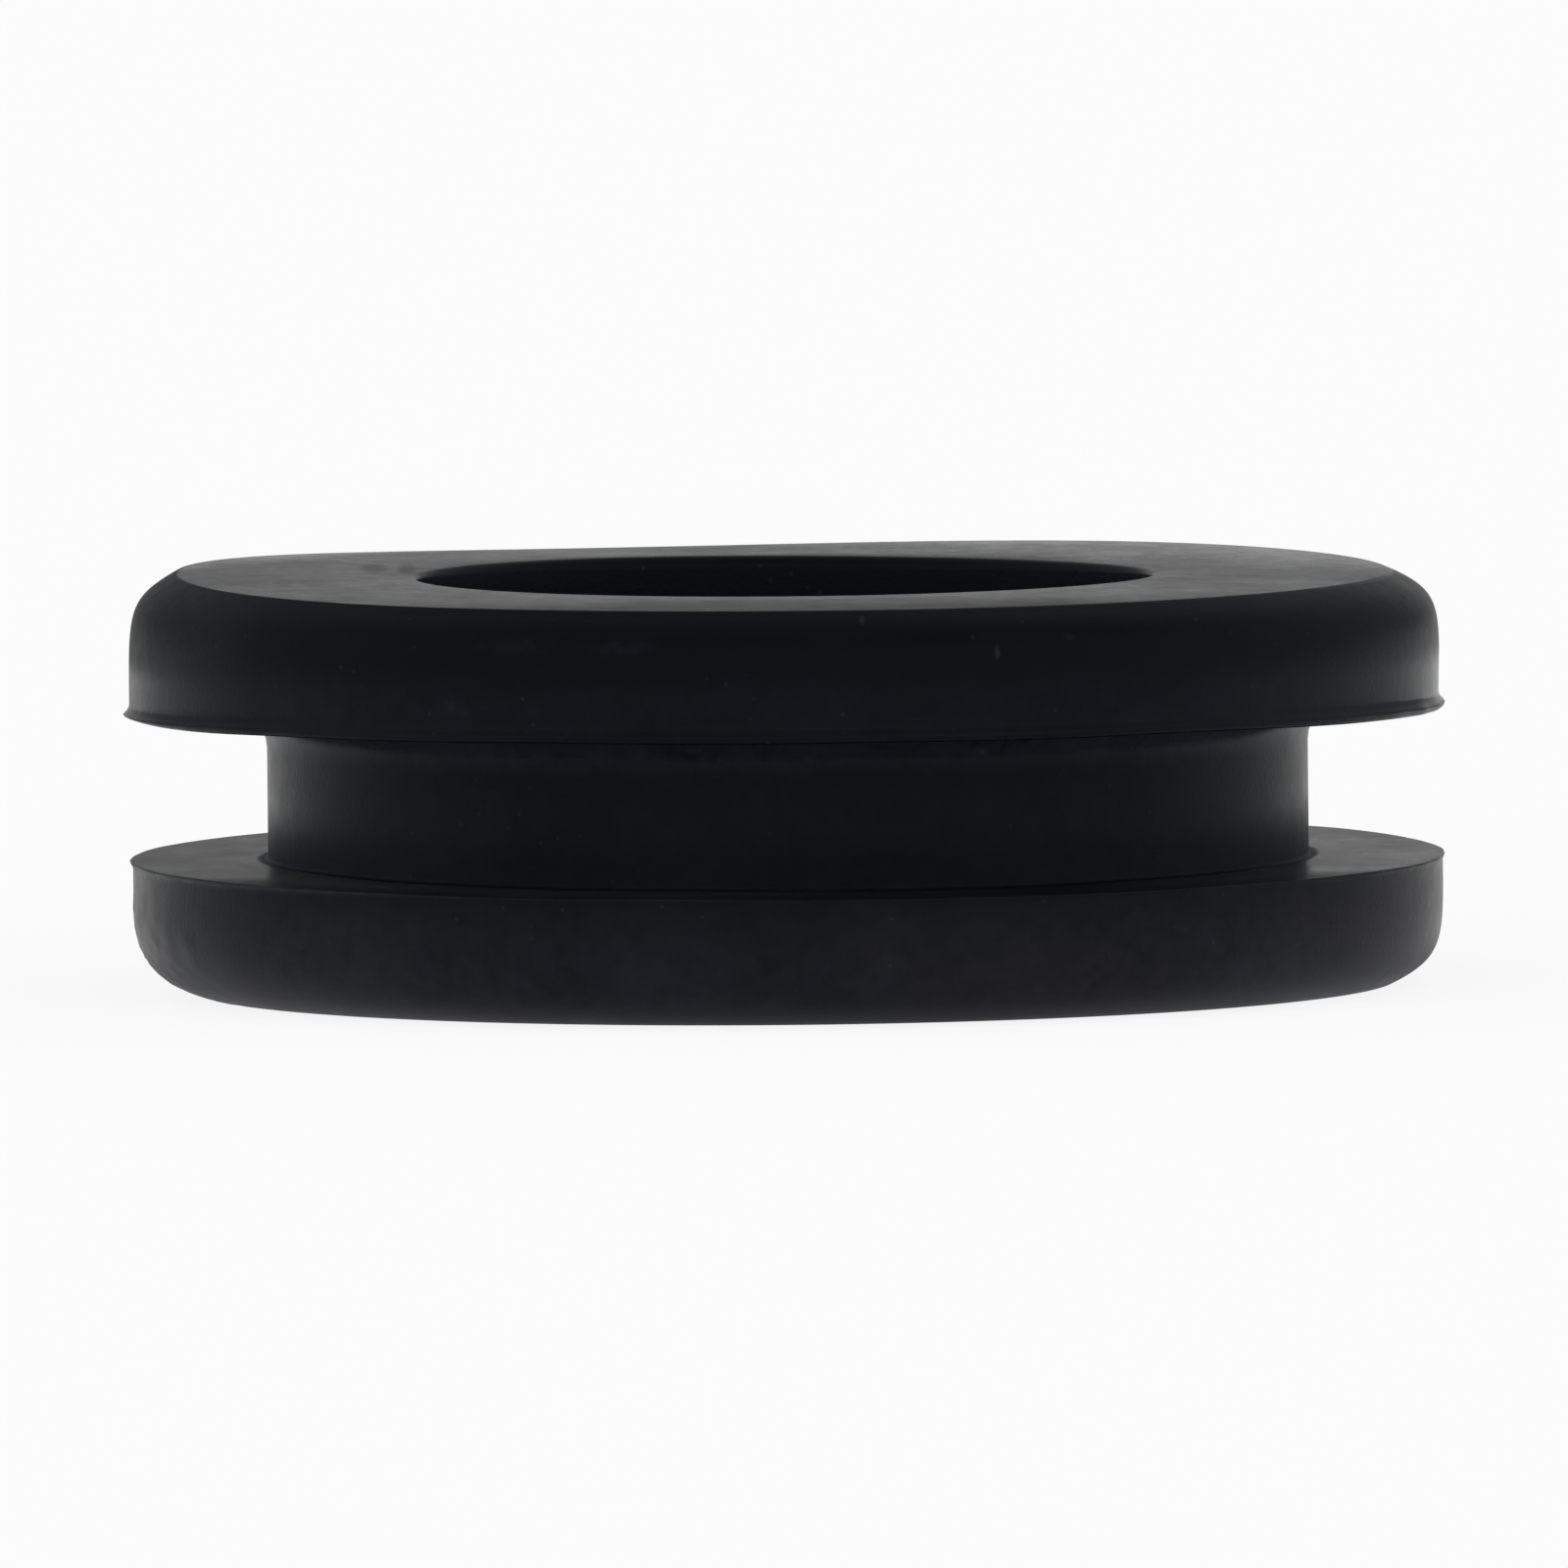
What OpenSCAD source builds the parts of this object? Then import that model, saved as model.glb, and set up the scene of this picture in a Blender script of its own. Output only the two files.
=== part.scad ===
// Round rubber panel grommet, moulded in one piece.
// Two flanges of one diameter stand on a narrower neck, and a plain bore runs through all three.
// The groove between the flanges, round the neck, takes the edge of a panel.
// The origin is on the bore's axis, in the plane of the lower flange's end face. +Z is up.

/* [Flanges] */
// Diameter of both flanges over their walls
flange_d = 32; // [30:0.1:80]
// Thickness of the upper flange
upper_flange_h = 3.25; // [2.8:0.05:8]
// Thickness of the lower flange
lower_flange_h = 3.25; // [2.8:0.05:8]
// Rounding of the upper flange's outer top edge
upper_edge_r = 1.7; // [0.2:0.1:2.3]
// Rounding of the lower flange's outer bottom edge
lower_edge_r = 2.1; // [0.2:0.1:2.3]
// Angle at which each rounding meets its flat end face, in a crisp rim
rim_angle = 20; // [0:1:45]

/* [Neck] */
// Diameter of the neck, which is the panel hole that it fills
neck_d = 25.4; // [20.5:0.1:29]
// Height of the groove, which is the thickness of the panel
groove_h = 3.7; // [1.5:0.1:12]
// Fillet where the neck runs into the upper flange
upper_fillet_r = 0.9; // [0.05:0.05:1]
// Fillet where the neck runs into the lower flange
lower_fillet_r = 0.35; // [0.05:0.05:0.5]

/* [Bore] */
// Diameter of the bore
bore_d = 18; // [6:0.1:19.5]
// Rounding of the bore's two mouths
bore_edge_r = 0.25; // [0.05:0.05:0.4]

/* [Moulding flash] */
// How far the thin lip round the upper flange's lower rim stands out past the wall
upper_lip_out = 0.12; // [0.02:0.01:0.2]
// How far the thin lip round the lower flange's upper rim stands out past the wall
lower_lip_out = 0.05; // [0.02:0.01:0.2]
// Thickness of both lips at their edges
lip_t = 0.12; // [0.06:0.01:0.15]
// Radius of the hollow flare from each wall out to its lip
flare_r = 0.4; // [0.2:0.05:0.4]

/* [Hidden] */
$fn = 120;

flange_r = flange_d / 2;
neck_r = neck_d / 2;
bore_r = bore_d / 2;
groove_floor_z = lower_flange_h;
groove_roof_z = groove_floor_z + groove_h;
total_h = groove_roof_z + upper_flange_h;
// A fillet is no wider than the flange face that it runs into
face_w = flange_r - neck_r;
upper_neck_fillet = min(upper_fillet_r, face_w);
lower_neck_fillet = min(lower_fillet_r, face_w);

// What lies in a corner outside an arc of radius r. The corner is at the origin and opens to +X and +Y.
// Cut from an outside corner it leaves a round, and added to an inside corner it makes a fillet.
module corner_sliver(r) {
    difference() {
        square(r);
        translate([r, r])
            circle(r = r);
    }
}

// Half section of one flange, with its groove face at y = 0 and its end face at y = height.
// The outer edge is rounded by edge_r, and the round meets the end face at rim_angle.
// The rim of the groove face carries the lip, a thin edge that the wall flares out to over its last stretch.
module flange_section(height, edge_r, lip_out) {
    difference() {
        square([flange_r, height]);
        translate([flange_r, height + edge_r * (1 - cos(rim_angle))])
            rotate(180)
                corner_sliver(edge_r);
    }
    square([flange_r + lip_out, lip_t]);
    translate([flange_r, lip_t])
        intersection() {
            translate([0, -flare_foot(lip_out)])
                corner_sliver(flare_r);
            square([lip_out, flare_r]);
        }
}

// How far below the lip's top the flare's arc would end, if it ran on until it was level
function flare_foot(lip_out) = flare_r - sqrt(flare_r ^ 2 - (flare_r - lip_out) ^ 2);

// The two flanges and the neck with its fillets, solid to the axis
module body_section() {
    translate([0, groove_roof_z]) {
        flange_section(upper_flange_h, upper_edge_r, upper_lip_out);
        translate([neck_r, 0])
            mirror([0, 1])
                corner_sliver(upper_neck_fillet);
    }
    translate([0, groove_floor_z]) {
        mirror([0, 1])
            flange_section(lower_flange_h, lower_edge_r, lower_lip_out);
        translate([neck_r, 0])
            corner_sliver(lower_neck_fillet);
        square([neck_r, groove_h]);
    }
}

// The bore with its two rounded mouths
module bore_section() {
    square([bore_r, total_h]);
    translate([bore_r, 0])
        corner_sliver(bore_edge_r);
    translate([bore_r, total_h])
        mirror([0, 1])
            corner_sliver(bore_edge_r);
}

module grommet() {
    color([0.06, 0.06, 0.065])
        rotate_extrude()
            difference() {
                body_section();
                bore_section();
            }
}

grommet();
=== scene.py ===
"""Black rubber panel grommet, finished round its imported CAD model.

The grommet is one moulded ring. Its section is a closed outline, swept round the bore's axis with the
small unevenness of a soft moulding: a wavy top rim, roundings that change from end to end, and ragged
lips of flash. Shape sizes are written in millimetres, and MM turns them into metres in the mesh.
Angles round the axis start at +X, the right end, and turn towards +Y. The camera stands at -Y.
"""

import math

import bmesh
import bpy
import numpy as np
from mathutils import Matrix, Vector


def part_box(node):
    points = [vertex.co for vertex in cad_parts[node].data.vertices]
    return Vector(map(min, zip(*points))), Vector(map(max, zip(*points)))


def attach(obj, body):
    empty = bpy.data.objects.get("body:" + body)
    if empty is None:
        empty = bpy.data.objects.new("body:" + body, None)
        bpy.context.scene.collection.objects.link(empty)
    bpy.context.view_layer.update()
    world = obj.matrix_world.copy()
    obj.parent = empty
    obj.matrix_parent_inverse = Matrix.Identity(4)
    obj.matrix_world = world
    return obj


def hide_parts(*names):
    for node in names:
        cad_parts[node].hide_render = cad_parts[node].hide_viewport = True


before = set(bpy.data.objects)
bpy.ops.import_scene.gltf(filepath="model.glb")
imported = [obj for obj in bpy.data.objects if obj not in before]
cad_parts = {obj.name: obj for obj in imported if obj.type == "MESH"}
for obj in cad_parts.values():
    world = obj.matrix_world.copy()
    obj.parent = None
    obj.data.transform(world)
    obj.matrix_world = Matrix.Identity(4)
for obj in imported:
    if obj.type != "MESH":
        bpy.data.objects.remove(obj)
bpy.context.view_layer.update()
ring_low, ring_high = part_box("grommet")

MM = 0.001
SEED = 41
STEPS_ROUND = 900

# ---------------------------------------------------------------- sizes, in mm
LIP_OUT = 0.12
FLANGE_R = (ring_high.x - ring_low.x) / 2 / MM - LIP_OUT
HEIGHT = (ring_high.z - ring_low.z) / MM
UPPER_R = FLANGE_R + 0.042
LOWER_R = FLANGE_R + 0.05
NECK_R = 12.75
BORE_R = 8.98
UPPER_FILLET_R = 0.9
LOWER_FILLET_R = 0.1
LOWER_MOUTH_R = 0.3
UPPER_FLARE_R = 0.32
LOWER_FLARE_R = 0.3
UPPER_LIP_OUT = LIP_OUT + 0.022
LOWER_LIP_T = 0.04
LOWER_LIP_MORE_AT_ENDS = 0.03
LEAST_LIP_OUT = 0.008

# The end face is flat inside this radius, and bends up by this much towards its rim
END_FACE_IN = 11.6
FOOT_LIFT = 0.1
FOOT_BEND = 1.5

# The upper mouth is rounded by MOUTH_R, and is sharper and wider by these at both ends of the ring
MOUTH_R = 0.3
MOUTH_SHARPER = 0.17
BORE_WIDER = 0.03

# How far the rim and the mouth lie below the CAD height, with a dip and a rise at one end each, and how
# far the land bulges above a straight line
RIM_DROP = 0.03
MOUTH_DROP = 0.038
MOUTH_LEFT_DIP = 0.07
RIM_RIGHT_RISE = 0.02
LAND_CROWN = 0.02

# The upper lip hangs down by this at both ends, and the hang fades out over this share of the roof
LIP_DROOP = 0.2
HANG_REACH = 0.3

# Shares of the way out to an end, past which the upper lip thins and the lower flange is knobbly
TAPER_FROM = 0.7
KNOBS_FROM = 5 / 6

# How far the upper flange, the bore and the neck lie off the axis, along X
UPPER_SHIFT = -0.062
BORE_SHIFT = -0.01
NECK_SHIFT = 0.014

# Sizes that change smoothly from the left end of the ring to the right one: (left, right).
# The two angles, in degrees, lie between the axis and a rounding where it leaves its rim.
RIM_R = (14.891, 14.835)
RIM_ANGLE = (61.5, 67.9)
SHOULDER_H = (2.58, 1.9)
SHOULDER_FULLNESS = (2.12, 1.78)
BELLY = (0, 0.024)
ROOF_Z = (6.966, 6.934)
UPPER_LIP_T = (0.15, 0.19)
UPPER_LIP_TAPER = (0.145, 0.055)
LOWER_LIP_OUT = (0.045, 0.005)
FLOOR_Z = (3.331, 3.219)
FOOT_R = (14.535, 14.865)
FOOT_ANGLE = (73.7, 64.5)
FOOT_H = (2.055, 2.345)
FOOT_FULLNESS = (1.075, 1.785)

# Waves round the ring: (size, lobes, angle of one crest in degrees)
RIM_WAVES = ((0.078, 1, 154), (0.07, 2, 4), (0.06, 3, 45), (0.022, 4, 66), (0.01, 1, 90))
MOUTH_WAVES = ((0.076, 1, 184), (0.018, 2, 0), (0.025, 2, 145))
FLOOR_WAVES = ((0.08, 1, 90),)
FOOT_WAVES = ((0.014, 1, 72),)

# Fine unevenness round the ring: (size, fewest waves, most waves, seed). The knobs' seed is for their
# first row, and each row after it takes the next one
ROOF_NOISE = (0.008, 3, 14, 1)
UPPER_LIP_NOISE = (0.007, 5, 60, 2)
LOWER_LIP_NOISE = (0.006, 5, 70, 3)
FLOOR_NOISE = (0.006, 3, 20, 4)
KNOB_NOISE = (0.01, 20, 90, 10)

# Where the faces have their rows of points, as shares of the way along each
LAND_ROWS = (0.2, 0.45, 0.6, 0.7, 0.8, 0.9, 0.96, 0.99)
WALL_ROWS = (0.33, 0.67)
ROOF_ROWS = (0.05, 0.2, 0.6, 1)
NECK_ROWS = (0.25, 0.5, 0.75, 1)
FLOOR_ROWS = (0.33, 0.67, 0.95)
END_FACE_ROWS = (0.98, 0.85, 0.7, 0.5, 0.25, 0)
INNER_FACE_ROWS = (0.5, 1)

# How many points or steps each curve has. CRISP_STEP is the upper shoulder's first, short step
BORE_POINTS = 5
MOUTH_STEPS = 5
SHOULDER_POINTS = 19
CRISP_STEP = 1 / 90
UPPER_FLARE_STEPS = 4
UPPER_FILLET_STEPS = 6
LOWER_FILLET_STEPS = 4
LOWER_FLARE_STEPS = 3
FOOT_POINTS = 17
LOWER_MOUTH_STEPS = 4

# The lips' edges: (distance back from the tip, share of the lip's thickness), up for the upper lip from
# its underside, and down for the lower lip from its top
UPPER_LIP_EDGE = ((0.01, 0.7), (0.03, 0.35), (0.07, 0.1), (0.11, 0))
LOWER_LIP_EDGE = ((0.03, 0), (0, 0.3))

# The land's crown is highest at these angles, in degrees
RIGHT_CROWN_ANGLE = 40
LEFT_CROWN_ANGLE = 170

# ---------------------------------------------------------------- rubber
# Pale marks on the near wall and neck: centre, half size along each axis, paleness
PALE_MARKS = (
    ((1.85, -15.3, 9.9), (0.11, 0.5, 0.2), 0.009),
    ((5.1, -15.2, 9.1), (0.1, 0.5, 0.27), 0.0075),
    ((6.9, -14.5, 9.4), (0.3, 0.5, 0.15), 0.003),
    ((-6.4, -14.6, 9.3), (1.9, 1.6, 0.3), 0.0011),
    ((-4.0, -15.4, 9.3), (1.2, 1.2, 0.26), 0.0014),
    ((-7.9, -13.9, 7.8), (0.5, 0.6, 0.25), 0.0016),
    ((4.6, -12.2, 6.5), (0.4, 0.6, 0.12), 0.012),
)

# Painted sheen: wide pale areas with no edge, at both ends of the upper flange
PAINTED_SHEEN_AREAS = (
    ((12.5, -8.0, 7.7), (4.0, 8.0, 1.2), 0.002),
    ((-14.4, -6.0, 9.2), (3.2, 5.0, 1.6), 0.004),
)

# Brownish smudges on the top land beside the bore: centre and half size
SMUDGES = (
    ((-10.1, 3.4, 10.2), (0.45, 3.0, 0.5)),
    ((-9.3, 3.2, 10.2), (0.3, 2.6, 0.5)),
)
SMUDGE_COLOUR = (0.024, 0.0195, 0.02)
SMUDGE_MATT = 0.08

# Rubber without dust, from its dark patches to its light ones
CLEAN_DARK = (0.0010, 0.0019, 0.0038)
CLEAN_LIGHT = (0.0017, 0.0027, 0.0050)

# The tint of the dust and painted light on the upper flange and neck, on the groove's floor, and on the
# lower flange's patches
UPPER_DUST_AND_LIGHT = (0.86, 0.99, 1.32)
FLOOR_DUST_AND_LIGHT = (0.97, 1.02, 0.97)
LOW_DUST_AND_LIGHT_GREEN = (0.88, 1.0, 1.19)
LOW_DUST_AND_LIGHT_VIOLET = (1.06, 0.96, 1.2)

# The tone goes between these over the light and dark patches, and the roughness follows it
TONE = (0.7, 1.3)
ROUGHNESS = (0.26, 0.34)
IOR = 1.5
SPECULAR = 0.045
BUMP_STRENGTH = 0.25
BUMP_H = 0.02

# ---------------------------------------------------------------- surround and camera
PAPER_COLOUR = (0.95, 0.95, 0.95, 1)
WHITE = (1, 1, 1, 1)
PAPER_GLOW_SHARE = 0.88
FLOOR_HALF_SIDE = 6.0
FRONT_LIGHT = 1.25
REAR_LIGHT = 0.25
BACKDROP_LIGHT = 0.5
SENSOR_WIDTH = 36
CLIP_RANGE = (0.01, 50)
CAMERA_DISTANCE = 0.9
CAMERA_ELEVATION = 0.0604
CAMERA_ROLL = -0.0102
FRAME_WIDTH = 38.42
AIM = (-0.079, 0, 5.023)


def between_ends(theta, ends):
    """A size that changes smoothly from the left end's value to the right end's."""
    left, right = ends
    return (left + right) / 2 + (right - left) / 2 * np.cos(theta)


def waves(theta, table):
    """The sum of the waves in a table of (size, lobes, crest)."""
    total = np.zeros_like(theta)
    for size, lobes, crest in table:
        total += size * np.cos(lobes * (theta - math.radians(crest)))
    return total


def noise_round(theta, size, fewest, most, seed):
    """Smooth noise round the ring, made of whole waves. Its standard deviation is the size."""
    random = np.random.RandomState(SEED + seed)
    total = np.zeros_like(theta)
    for count in range(fewest, most + 1):
        height, phase = random.normal(), random.uniform(0, 2 * math.pi)
        total += height * np.cos(count * theta + phase)
    return size * total / total.std()


def conic(start, corner, end, fullness, shares):
    """Points along a conic from start to end, pulled towards the corner. Each point is (radius, height)."""
    points = []
    for t in shares:
        a, b, c = (1 - t) ** 2, 2 * fullness * t * (1 - t), t * t
        total = a + b + c
        radius = (a * start[0] + b * corner[0] + c * end[0]) / total
        height = (a * start[1] + b * corner[1] + c * end[1]) / total
        points.append((radius, height))
    return points


def flare(lip_out, arc_r, steps):
    """The hollow arc from a wall out to its lip, from the wall: (distance out, height above the lip)."""
    low = arc_r - np.sqrt(arc_r**2 - (arc_r - lip_out) ** 2)
    points = []
    for t in np.linspace(0, 1, steps + 1):
        out = lip_out * t**2
        points.append((out, arc_r - np.sqrt(arc_r**2 - (arc_r - out) ** 2) - low))
    return points


def quarter_turn(steps):
    """Steps along a quarter circle of radius 1: (distance gone ahead, distance turned aside)."""
    turns = [math.radians(90 * k / steps) for k in range(1, steps + 1)]
    return [(math.sin(t), 1 - math.cos(t)) for t in turns]


class Section:
    """The ring's section at each angle, from the bore's foot round: rows of (radius, height, shift in X)."""

    def __init__(self, theta):
        self.theta = theta
        self.rows = []
        self.measure_top()
        self.measure_groove()
        self.add_bore()
        self.add_land()
        self.add_upper_shoulder()
        self.add_upper_wall()
        self.add_roof()
        self.add_neck()
        self.add_floor()
        self.add_lower_wall()
        self.add_end_face()

    def row(self, radius, height, shift=0):
        none = np.zeros_like(self.theta)
        self.rows.append((radius + none, height + none, shift + none))

    def measure_top(self):
        """The top: a nearly level land between the bore's mouth and a crisp, slightly wavy rim."""
        theta = self.theta
        at_ends = np.cos(theta) ** 4
        at_left = ((1 - np.cos(theta)) / 2) ** 4
        right_crown = ((1 + np.cos(theta - math.radians(RIGHT_CROWN_ANGLE))) / 2) ** 2
        left_crown = ((1 + np.cos(theta - math.radians(LEFT_CROWN_ANGLE))) / 2) ** 4
        self.crown = LAND_CROWN * np.maximum(right_crown, left_crown)
        self.rim_r = between_ends(theta, RIM_R)
        self.rim_z = HEIGHT - RIM_DROP + waves(theta, RIM_WAVES) + RIM_RIGHT_RISE * right_crown
        self.mouth_z = HEIGHT - MOUTH_DROP + waves(theta, MOUTH_WAVES) - MOUTH_LEFT_DIP * at_left
        self.mouth_r = MOUTH_R - MOUTH_SHARPER * at_ends
        self.bore_r = BORE_R + BORE_WIDER * at_ends
        self.shoulder_foot_z = self.rim_z - between_ends(theta, SHOULDER_H)

    def measure_groove(self):
        """The groove's two faces and the thin lips at their edges. The upper lip thins towards both tips."""
        theta = self.theta
        self.roof = between_ends(theta, ROOF_Z) + noise_round(theta, *ROOF_NOISE)
        self.floor = between_ends(theta, FLOOR_Z) + waves(theta, FLOOR_WAVES)
        self.floor = self.floor + noise_round(theta, *FLOOR_NOISE)
        self.upper_lip = UPPER_LIP_OUT + noise_round(theta, *UPPER_LIP_NOISE)
        lower_lip = between_ends(theta, LOWER_LIP_OUT) + LOWER_LIP_MORE_AT_ENDS * np.cos(theta) ** 2
        lower_lip = lower_lip + noise_round(theta, *LOWER_LIP_NOISE)
        self.lower_lip = np.maximum(lower_lip, LEAST_LIP_OUT)
        self.lower_arc = flare(self.lower_lip, LOWER_FLARE_R, LOWER_FLARE_STEPS)
        self.droop = LIP_DROOP * np.cos(theta) ** 6
        near_tips = np.clip((np.cos(theta) ** 2 - TAPER_FROM) / (1 - TAPER_FROM), 0, 1) ** 2
        self.taper = near_tips * between_ends(theta, UPPER_LIP_TAPER)

    def add_bore(self):
        """The bore's wall, from the lower mouth up, and the upper mouth."""
        wall_top = self.mouth_z - self.mouth_r
        for u in np.linspace(0, 1, BORE_POINTS):
            radius = BORE_R + u * (self.bore_r - BORE_R)
            self.row(radius, LOWER_MOUTH_R + u * (wall_top - LOWER_MOUTH_R), BORE_SHIFT * u)
        for ahead, aside in quarter_turn(MOUTH_STEPS):
            self.row(self.bore_r + self.mouth_r * aside, wall_top + self.mouth_r * ahead, BORE_SHIFT)

    def add_land(self):
        """The flat top, with a slight crown over its outer half."""
        land_in = self.bore_r + self.mouth_r
        for u in LAND_ROWS:
            over_outer_half = max(0.0, 2 * u - 1)
            rise = self.crown * 4 * over_outer_half * (1 - over_outer_half)
            height = self.mouth_z + u * (self.rim_z - self.mouth_z) + rise
            shift = BORE_SHIFT + u * (UPPER_SHIFT - BORE_SHIFT)
            self.row(land_in + u * (self.rim_r - land_in), height, shift)

    def add_upper_shoulder(self):
        """The rounding from the rim to the wall. Its first short step keeps the rim crisp."""
        wall_r = UPPER_R + between_ends(self.theta, BELLY)
        slope = 1 / np.tan(np.radians(between_ends(self.theta, RIM_ANGLE)))
        start = (self.rim_r, self.rim_z)
        corner = (wall_r, self.rim_z - (wall_r - self.rim_r) * slope)
        end = (wall_r, self.shoulder_foot_z)
        fullness = between_ends(self.theta, SHOULDER_FULLNESS)
        shares = np.insert(np.linspace(0, 1, SHOULDER_POINTS), 1, CRISP_STEP)
        for radius, height in conic(start, corner, end, fullness, shares):
            self.row(radius, height, UPPER_SHIFT)

    def add_upper_wall(self):
        """The upper wall, flaring out to the thin lip round its foot."""
        belly = between_ends(self.theta, BELLY)
        lip_t = between_ends(self.theta, UPPER_LIP_T)
        lip_z = self.roof - self.droop
        arc = flare(self.upper_lip, UPPER_FLARE_R, UPPER_FLARE_STEPS)
        wall_foot = lip_z + lip_t + arc[0][1]
        for u in WALL_ROWS:
            height = self.shoulder_foot_z + u * (wall_foot - self.shoulder_foot_z)
            self.row(UPPER_R + belly * (1 - u), height, UPPER_SHIFT)
        for out, up in arc:
            self.row(UPPER_R + out, lip_z + lip_t + up, UPPER_SHIFT)
        for back, share in UPPER_LIP_EDGE:
            height = lip_z + self.taper + share * (lip_t - self.taper)
            self.row(UPPER_R + self.upper_lip - back, height, UPPER_SHIFT)

    def add_roof(self):
        """The groove's roof, in to the neck's upper fillet, and that fillet."""
        fillet_foot = NECK_R + UPPER_FILLET_R
        for u in ROOF_ROWS:
            hang = (self.droop - self.taper) * max(0.0, 1 - u / HANG_REACH)
            shift = UPPER_SHIFT * (1 - u) + NECK_SHIFT * u
            self.row(UPPER_R + u * (fillet_foot - UPPER_R), self.roof - hang, shift)
        for ahead, aside in quarter_turn(UPPER_FILLET_STEPS):
            self.row(fillet_foot - UPPER_FILLET_R * ahead, self.roof - UPPER_FILLET_R * aside, NECK_SHIFT)

    def add_neck(self):
        """The neck and its lower fillet."""
        neck_top, neck_foot = self.roof - UPPER_FILLET_R, self.floor + LOWER_FILLET_R
        for u in NECK_ROWS:
            self.row(NECK_R, neck_top + u * (neck_foot - neck_top), NECK_SHIFT)
        for ahead, aside in quarter_turn(LOWER_FILLET_STEPS):
            self.row(NECK_R + LOWER_FILLET_R * aside, neck_foot - LOWER_FILLET_R * ahead, NECK_SHIFT)

    def add_floor(self):
        """The groove's floor, out to the lower lip, and the flare under that lip."""
        fillet_foot = NECK_R + LOWER_FILLET_R
        edge = LOWER_R + self.lower_lip
        for u in FLOOR_ROWS:
            self.row(fillet_foot + u * (edge - fillet_foot), self.floor)
        for back, share in LOWER_LIP_EDGE:
            self.row(edge - back, self.floor - share * LOWER_LIP_T)
        for out, down in reversed(self.lower_arc):
            self.row(LOWER_R + out, self.floor - LOWER_LIP_T - down)

    def add_lower_wall(self):
        """The lower wall and the rounding under it, which is slightly knobbly at the left end."""
        theta = self.theta
        self.foot_r = between_ends(theta, FOOT_R)
        self.foot_z = FOOT_LIFT + waves(theta, FOOT_WAVES)
        slope = 1 / np.tan(np.radians(between_ends(theta, FOOT_ANGLE)))
        start = (self.foot_r, self.foot_z)
        corner = (LOWER_R, self.foot_z + (LOWER_R - self.foot_r) * slope)
        end = (LOWER_R, self.foot_z + between_ends(theta, FOOT_H))
        wall_top = self.floor - LOWER_LIP_T - self.lower_arc[0][1]
        self.row(LOWER_R, 0.5 * (wall_top + end[1]))
        at_left_end = np.clip((-np.cos(theta) - KNOBS_FROM) / (1 - KNOBS_FROM), 0, 1)
        size, fewest, most, first_seed = KNOB_NOISE
        shares = np.linspace(0, 1, FOOT_POINTS)
        points = conic(start, corner, end, between_ends(theta, FOOT_FULLNESS), shares)
        for k, (radius, height) in enumerate(reversed(points)):
            knobs = at_left_end * noise_round(theta, size, fewest, most, first_seed + k)
            self.row(radius + knobs, height)

    def add_end_face(self):
        """The end face, which lifts a little towards its rim, and the lower mouth."""
        for u in END_FACE_ROWS:
            self.row(END_FACE_IN + u * (self.foot_r - END_FACE_IN), self.foot_z * u**FOOT_BEND)
        mouth_out = BORE_R + LOWER_MOUTH_R
        for u in INNER_FACE_ROWS:
            self.row(END_FACE_IN + u * (mouth_out - END_FACE_IN), 0)
        for ahead, aside in quarter_turn(LOWER_MOUTH_STEPS)[:-1]:
            self.row(mouth_out - LOWER_MOUTH_R * ahead, LOWER_MOUTH_R * aside)


def ring_mesh(name):
    """The section swept round the axis as one closed mesh of quads."""
    theta = np.linspace(0, 2 * math.pi, STEPS_ROUND, endpoint=False)
    rows = Section(theta).rows
    points = np.empty((STEPS_ROUND, len(rows), 3))
    for k, (radius, height, shift) in enumerate(rows):
        points[:, k, 0] = radius * np.cos(theta) + shift
        points[:, k, 1] = radius * np.sin(theta)
        points[:, k, 2] = height
    mesh = bpy.data.meshes.new(name)
    bm = bmesh.new()
    grid = [[bm.verts.new(p * MM) for p in ring] for ring in points]
    for i in range(STEPS_ROUND):
        here, beyond = grid[i], grid[(i + 1) % STEPS_ROUND]
        for k in range(len(rows)):
            after = (k + 1) % len(rows)
            bm.faces.new((here[k], here[after], beyond[after], beyond[k]))
    bmesh.ops.recalc_face_normals(bm, faces=bm.faces)
    for face in bm.faces:
        face.smooth = True
    bm.to_mesh(mesh)
    bm.free()
    return mesh


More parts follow.
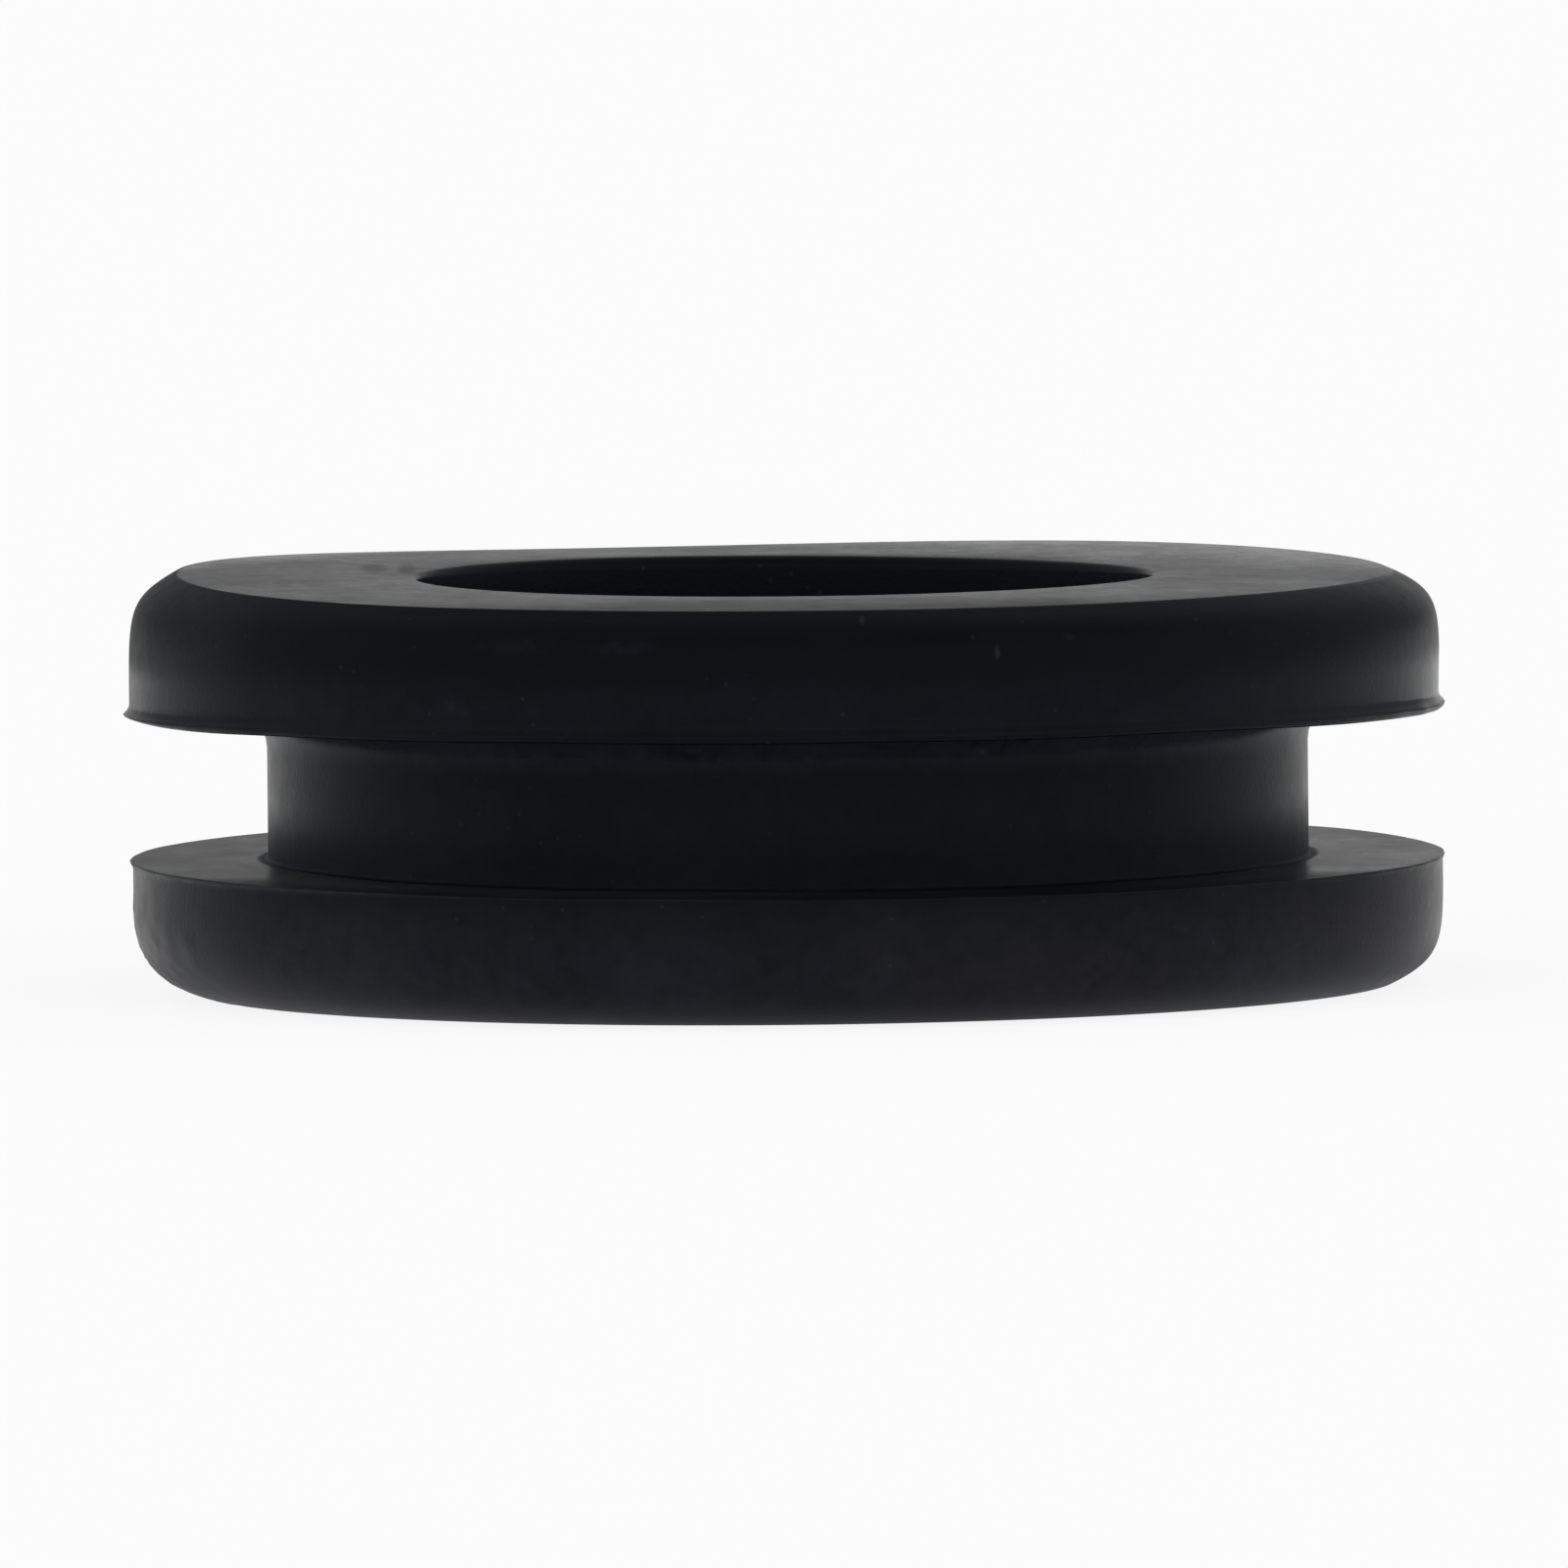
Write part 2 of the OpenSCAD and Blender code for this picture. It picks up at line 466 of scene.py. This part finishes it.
class Nodes:
    """Short calls for adding and linking nodes in one node tree."""

    def __init__(self, tree):
        self.tree = tree
        tree.nodes.clear()

    def add(self, kind, **settings):
        node = self.tree.nodes.new(kind)
        for key, value in settings.items():
            setattr(node, key, value)
        return node

    def link(self, source, target):
        self.tree.links.new(source, target)

    def feed(self, socket, value):
        """Links an output to the socket, or sets the number there."""
        if isinstance(value, (int, float)):
            socket.default_value = value
        else:
            self.link(value, socket)

    def noise(self, coordinates, scale, detail=2.0, roughness=0.5):
        node = self.add("ShaderNodeTexNoise")
        node.inputs["Scale"].default_value = scale
        node.inputs["Detail"].default_value = detail
        node.inputs["Roughness"].default_value = roughness
        self.link(coordinates, node.inputs["Vector"])
        return node.outputs["Fac"]

    def remap(self, value, from_low, from_high, to_low, to_high):
        """The value mapped in a straight line from one range to the other, and held at both ends."""
        node = self.add("ShaderNodeMapRange")
        node.inputs["From Min"].default_value = from_low
        node.inputs["From Max"].default_value = from_high
        node.inputs["To Min"].default_value = to_low
        node.inputs["To Max"].default_value = to_high
        self.link(value, node.inputs["Value"])
        return node.outputs["Result"]

    def smooth(self, value, from_low, from_high, to_low, to_high):
        """The same with a soft start and a soft end."""
        result = self.remap(value, from_low, from_high, to_low, to_high)
        result.node.interpolation_type = "SMOOTHSTEP"
        return result

    def spot(self, place, centre, half_size):
        """1 well inside an ellipsoid, fading to 0 at its surface."""
        offset = self.add("ShaderNodeVectorMath", operation="SUBTRACT")
        self.link(place, offset.inputs[0])
        offset.inputs[1].default_value = centre
        share = self.add("ShaderNodeVectorMath", operation="DIVIDE")
        self.link(offset.outputs[0], share.inputs[0])
        share.inputs[1].default_value = half_size
        length = self.add("ShaderNodeVectorMath", operation="LENGTH")
        self.link(share.outputs[0], length.inputs[0])
        return self.smooth(length.outputs["Value"], 1.0, 0.3, 0, 1)

    def scaled(self, vector, factor):
        node = self.add("ShaderNodeVectorMath", operation="SCALE")
        self.link(vector, node.inputs[0])
        self.feed(node.inputs["Scale"], factor)
        return node.outputs[0]

    def added(self, one, other):
        node = self.add("ShaderNodeVectorMath", operation="ADD")
        self.link(one, node.inputs[0])
        self.link(other, node.inputs[1])
        return node.outputs[0]

    def split(self, vector):
        node = self.add("ShaderNodeSeparateXYZ")
        self.link(vector, node.inputs[0])
        return node.outputs

    def math(self, operation, a, b=0):
        node = self.add("ShaderNodeMath", operation=operation)
        self.feed(node.inputs[0], a)
        self.feed(node.inputs[1], b)
        return node.outputs[0]

    def plus(self, total, *others):
        for other in others:
            total = self.math("ADD", total, other)
        return total

    def times(self, product, *others):
        for other in others:
            product = self.math("MULTIPLY", product, other)
        return product

    def mix(self, share, low, high):
        """A colour between low and high. This node's sockets 6 and 7 take colours. Output 2 gives one."""
        node = self.add("ShaderNodeMix", data_type="RGBA")
        self.link(share, node.inputs[0])
        for socket, value in ((node.inputs[6], low), (node.inputs[7], high)):
            if isinstance(value, tuple):
                socket.default_value = (*value, 1)
            else:
                self.link(value, socket)
        return node.outputs[2]


class Zones:
    """Where on the ring a shaded point lies, in millimetres. Each zone is 1 inside it and 0 outside."""

    def __init__(self, n):
        self.place = n.scaled(n.add("ShaderNodeTexCoord").outputs["Object"], 1 / MM)
        self.x, self.y, self.z = n.split(self.place)
        self.radius = n.math("SQRT", n.plus(n.times(self.x, self.x), n.times(self.y, self.y)))
        self.to_side = n.math("ABSOLUTE", self.x)

        # Light and dark patches all over the rubber
        cloud = n.noise(self.place, 0.35, 4.0, 0.6)
        self.mottle = n.noise(self.place, 2.2, 3.0, 0.6)
        patches = n.plus(n.times(cloud, 0.55), n.times(self.mottle, 0.45))
        self.tone = n.remap(patches, 0.35, 0.65, *TONE)

        # The groove, and in it the neck with the faces next to it, the neck's wall alone, and the floor
        self.low_flange = n.smooth(self.z, 3.22, 3.14, 0, 1)
        above_low_flange = n.math("SUBTRACT", 1.0, self.low_flange)
        self.groove = n.times(n.smooth(self.z, 7.0, 6.94, 0, 1), above_low_flange)
        past_bore = n.smooth(self.radius, 9.4, 9.6, 0, 1)
        self.neck = n.times(past_bore, n.smooth(self.radius, 14.6, 14.2, 0, 1), self.groove)
        self.neck_wall = n.times(n.smooth(self.radius, 13.05, 12.9, 0, 1), self.groove)
        floor_radius = n.plus(self.radius, n.smooth(self.to_side, 9, 12, 0, 0.25))
        past_neck = n.smooth(floor_radius, 13.0, 13.2, 0, 1)
        self.floor = n.times(self.groove, n.smooth(self.z, 3.6, 3.4, 0, 1), past_neck)

        # The upper flange's outside, the top, and the flat land on it
        past_rim = n.smooth(self.radius, 14.85, 14.95, 0, 1)
        self.outer_wall = n.times(past_rim, n.smooth(self.z, 6.9, 7.0, 0, 1))
        self.top = n.smooth(self.z, 9.9, 10.0, 0, 1)
        self.land = n.times(self.top, n.smooth(self.radius, 14.95, 14.85, 0, 1))


def painted_light(n, at):
    """How much paler the painted light and shade make each face: the neck a little, its top, the floor and
    the lower flange more.
    """
    # Painted light: the lower flange is paler lower down, where the floor lights it
    low_tone = n.plus(n.remap(at.z, 3.15, 0.5, 0.0024, 0.0102), n.smooth(at.z, 1.5, 0.5, 0, 0.0013))
    low = n.times(at.low_flange, low_tone)
    # Painted light: the neck is a little paler, and much paler at its top, in the shade under the upper lip
    neck = n.times(at.neck, n.smooth(at.z, 5.8, 6.65, 0.0038, 0.0148))
    # Painted light: the groove's floor is paler, most deep in the groove where the flanges shade it, and
    # more at the ends
    paler_inside = n.smooth(at.radius, 14.4, 15.8, 0.026, 0.011)
    paler_at_ends = n.smooth(at.to_side, 9, 13, 0.5, 1)
    floor = n.times(at.floor, paler_inside, paler_at_ends)
    # Painted light: the upper wall is paler towards its lip; painted shade: a little less pale on the lip's
    # flare, which faces up into the light
    above_lip, on_lip = n.smooth(at.z, 9.0, 7.6, 0, 0.0024), n.smooth(at.z, 7.5, 7.25, 0, 0.0007)
    wall = n.times(at.outer_wall, n.math("SUBTRACT", above_lip, on_lip))
    # All of it follows the random tone, and grows up to 1.65 times towards the ends, as a painted sheen
    return n.times(n.plus(low, neck, floor, wall), at.tone, n.smooth(at.to_side, 5, 13, 1.04, 1.65))


def specks(n, at):
    """Fine pale specks in loose patches."""
    cells = n.add("ShaderNodeTexVoronoi")
    cells.inputs["Scale"].default_value = 2.4
    n.link(at.place, cells.inputs["Vector"])
    patches = n.smooth(n.noise(at.place, 0.5, 2.0, 0.5), 0.5, 0.62, 0, 0.006)
    return n.times(n.smooth(cells.outputs["Distance"], 0.16, 0.08, 0, 1), patches)


def marks_and_painted_sheen(n, at):
    """The broken marks, and the wide painted sheen at both ends of the upper flange, that can be made out
    one by one.
    """
    broken = n.smooth(at.mottle, 0.42, 0.62, 0.3, 1.7)
    marks = [n.times(n.spot(at.place, *where), broken, paleness) for *where, paleness in PALE_MARKS]
    # Painted sheen: pale areas where the flange's ends catch light at a glance
    sheen_areas = [n.times(n.spot(at.place, *where), paleness) for *where, paleness in PAINTED_SHEEN_AREAS]
    return n.plus(*marks, *sheen_areas)


def smudges(n, at):
    """How strongly the brownish smudges cover each point."""
    spots = [n.spot(at.place, centre, half_size) for centre, half_size in SMUDGES]
    return n.times(n.plus(*spots), n.smooth(n.noise(at.place, 0.9, 3.0, 0.6), 0.35, 0.6, 0.3, 1))


def rubber_colour(n, at, smudge):
    """Black rubber with tinted dust and painted light over it, and the smudges on top."""
    clean = n.mix(n.remap(at.tone, *TONE, 0, 1), CLEAN_DARK, CLEAN_LIGHT)
    low_patches = n.smooth(n.noise(at.place, 0.16, 2.0, 0.5), 0.42, 0.58, 0, 1)
    low_tint = n.mix(low_patches, LOW_DUST_AND_LIGHT_GREEN, LOW_DUST_AND_LIGHT_VIOLET)
    tint = n.mix(at.floor, n.mix(at.low_flange, UPPER_DUST_AND_LIGHT, low_tint), FLOOR_DUST_AND_LIGHT)
    # Painted light and shade, real pale specks and marks, and the painted sheen at the flange's ends, all
    # tinted
    dust_and_light = n.plus(painted_light(n, at), specks(n, at), marks_and_painted_sheen(n, at))
    return n.mix(smudge, n.added(clean, n.scaled(tint, dust_and_light)), SMUDGE_COLOUR)


def rubber_roughness(n, at, smudge):
    """The patches' roughness. The neck's foot, near rim and lower edge are more matt, the far land less."""
    neck_foot = n.times(at.neck_wall, n.smooth(at.z, 5.0, 3.6, 0, 0.22))
    near_rim = n.times(at.top, n.smooth(at.y, -9.0, -14.0, 0, 0.08))
    lower_edge = n.smooth(at.z, 1.5, 0.4, 0, 0.18)
    floor_left, floor_near = n.smooth(at.x, -5, 5, 0.04, 0), n.smooth(at.y, -6.5, -9, 0, 0.1)
    floor = n.times(at.floor, n.plus(floor_left, floor_near))
    wall_right, wall_top = n.smooth(at.x, -5, 5, 0, -0.1), n.smooth(at.z, 7.8, 8.5, 0, 0.15)
    wall = n.times(at.outer_wall, n.plus(wall_right, wall_top))
    to_far_right = n.plus(n.times(at.x, 0.7), n.times(at.y, 0.7))
    to_far_left = n.plus(n.times(at.x, -0.87), n.times(at.y, 0.5))
    far_right = n.smooth(to_far_right, 7.5, 13.5, 0, -0.08)
    far_left = n.smooth(to_far_left, 12.6, 14.6, 0, -0.07)
    land = n.times(at.land, n.plus(far_right, far_left))
    patches = n.remap(at.tone, *TONE, *ROUGHNESS)
    return n.plus(patches, neck_foot, near_rim, lower_edge, floor, wall, land, n.times(smudge, SMUDGE_MATT))


def rubber_material():
    """Black rubber: nearly no sheen seen square on, a strong one at a glance, and painted light making it
    paler lower down.
    """
    material = bpy.data.materials.new("black_rubber_moulded")
    material.use_nodes = True
    n = Nodes(material.node_tree)
    output = n.add("ShaderNodeOutputMaterial")
    shader = n.add("ShaderNodeBsdfPrincipled")
    n.link(shader.outputs[0], output.inputs["Surface"])
    at = Zones(n)
    smudge = smudges(n, at)
    n.link(rubber_colour(n, at, smudge), shader.inputs["Base Color"])
    n.link(rubber_roughness(n, at, smudge), shader.inputs["Roughness"])
    shader.inputs["IOR"].default_value = IOR
    shader.inputs["Specular IOR Level"].default_value = SPECULAR

    bump = n.add("ShaderNodeBump")
    bump.inputs["Strength"].default_value = BUMP_STRENGTH
    bump.inputs["Distance"].default_value = BUMP_H * MM
    n.link(n.plus(n.noise(at.place, 9.0, 2.0, 0.5), at.mottle), bump.inputs["Height"])
    n.link(bump.outputs[0], shader.inputs["Normal"])
    return material


def floor_material():
    """Matt white paper. Where the camera and reflections see it, part of its brightness is its own."""
    material = bpy.data.materials.new("white_paper")
    material.use_nodes = True
    n = Nodes(material.node_tree)
    output = n.add("ShaderNodeOutputMaterial")
    paper = n.add("ShaderNodeBsdfDiffuse")
    paper.inputs["Color"].default_value = PAPER_COLOUR
    glow = n.add("ShaderNodeEmission")
    glow.inputs["Color"].default_value = WHITE
    glow.inputs["Strength"].default_value = 1.0
    rays = n.add("ShaderNodeLightPath")
    seen = n.math("MAXIMUM", rays.outputs["Is Camera Ray"], rays.outputs["Is Glossy Ray"])
    seen = n.math("MAXIMUM", seen, rays.outputs["Is Transmission Ray"])
    blend = n.add("ShaderNodeMixShader")
    n.link(n.times(seen, PAPER_GLOW_SHARE), blend.inputs[0])
    n.link(paper.outputs[0], blend.inputs[1])
    n.link(glow.outputs[0], blend.inputs[2])
    n.link(blend.outputs[0], output.inputs["Surface"])
    return material


def make_floor():
    mesh = bpy.data.meshes.new("floor")
    side = FLOOR_HALF_SIDE
    corners = [(-side, -side, 0), (side, -side, 0), (side, side, 0), (-side, side, 0)]
    mesh.from_pydata(corners, [], [(0, 1, 2, 3)])
    mesh.materials.append(floor_material())
    floor = bpy.data.objects.new("floor", mesh)
    bpy.context.scene.collection.objects.link(floor)
    floor.location.z = ring_low.z


def make_world():
    """A plain soft surround: a broad light in front and at the sides, dimmer behind, dimmest above there."""
    world = bpy.data.worlds.new("surround")
    world.use_nodes = True
    n = Nodes(world.node_tree)
    output = n.add("ShaderNodeOutputWorld")
    background = n.add("ShaderNodeBackground")
    background.inputs["Color"].default_value = WHITE
    x, y, z = n.split(n.add("ShaderNodeTexCoord").outputs["Generated"])
    across = n.smooth(n.math("ABSOLUTE", x), 0.2, 0.5, BACKDROP_LIGHT, 0)
    rear = n.plus(n.times(across, n.smooth(z, 0.12, 0.32, 1, 0)), REAR_LIGHT)
    to_front = n.times(n.remap(y, 0.92, -0.2, 0, 1), n.smooth(z, 0.45, 0.9, 1, 0.5))
    extra = n.times(to_front, n.math("SUBTRACT", FRONT_LIGHT, rear))
    n.link(n.plus(rear, extra), background.inputs["Strength"])
    n.link(background.outputs[0], output.inputs["Surface"])
    bpy.context.scene.world = world


def make_camera():
    """A long lens a little above the grommet, rolled slightly."""
    aim = Vector(AIM) * MM
    back = Vector((0, -math.cos(CAMERA_ELEVATION), math.sin(CAMERA_ELEVATION)))
    data = bpy.data.cameras.new("camera")
    data.sensor_width = SENSOR_WIDTH
    data.lens = SENSOR_WIDTH * CAMERA_DISTANCE / (FRAME_WIDTH * MM)
    data.clip_start, data.clip_end = CLIP_RANGE
    camera = bpy.data.objects.new("camera", data)
    bpy.context.scene.collection.objects.link(camera)
    place = Matrix.Translation(aim + back * CAMERA_DISTANCE)
    facing = (-back).to_track_quat("-Z", "Y").to_matrix().to_4x4()
    camera.matrix_world = place @ facing @ Matrix.Rotation(CAMERA_ROLL, 4, "Z")
    bpy.context.scene.camera = camera


def make_ring():
    ring = bpy.data.objects.new("grommet_moulding", ring_mesh("grommet_moulding"))
    bpy.context.scene.collection.objects.link(ring)
    ring.data.materials.append(rubber_material())
    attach(ring, "root")
    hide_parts("grommet")


bpy.context.scene.view_settings.view_transform = "Standard"
make_ring()
make_floor()
make_world()
make_camera()
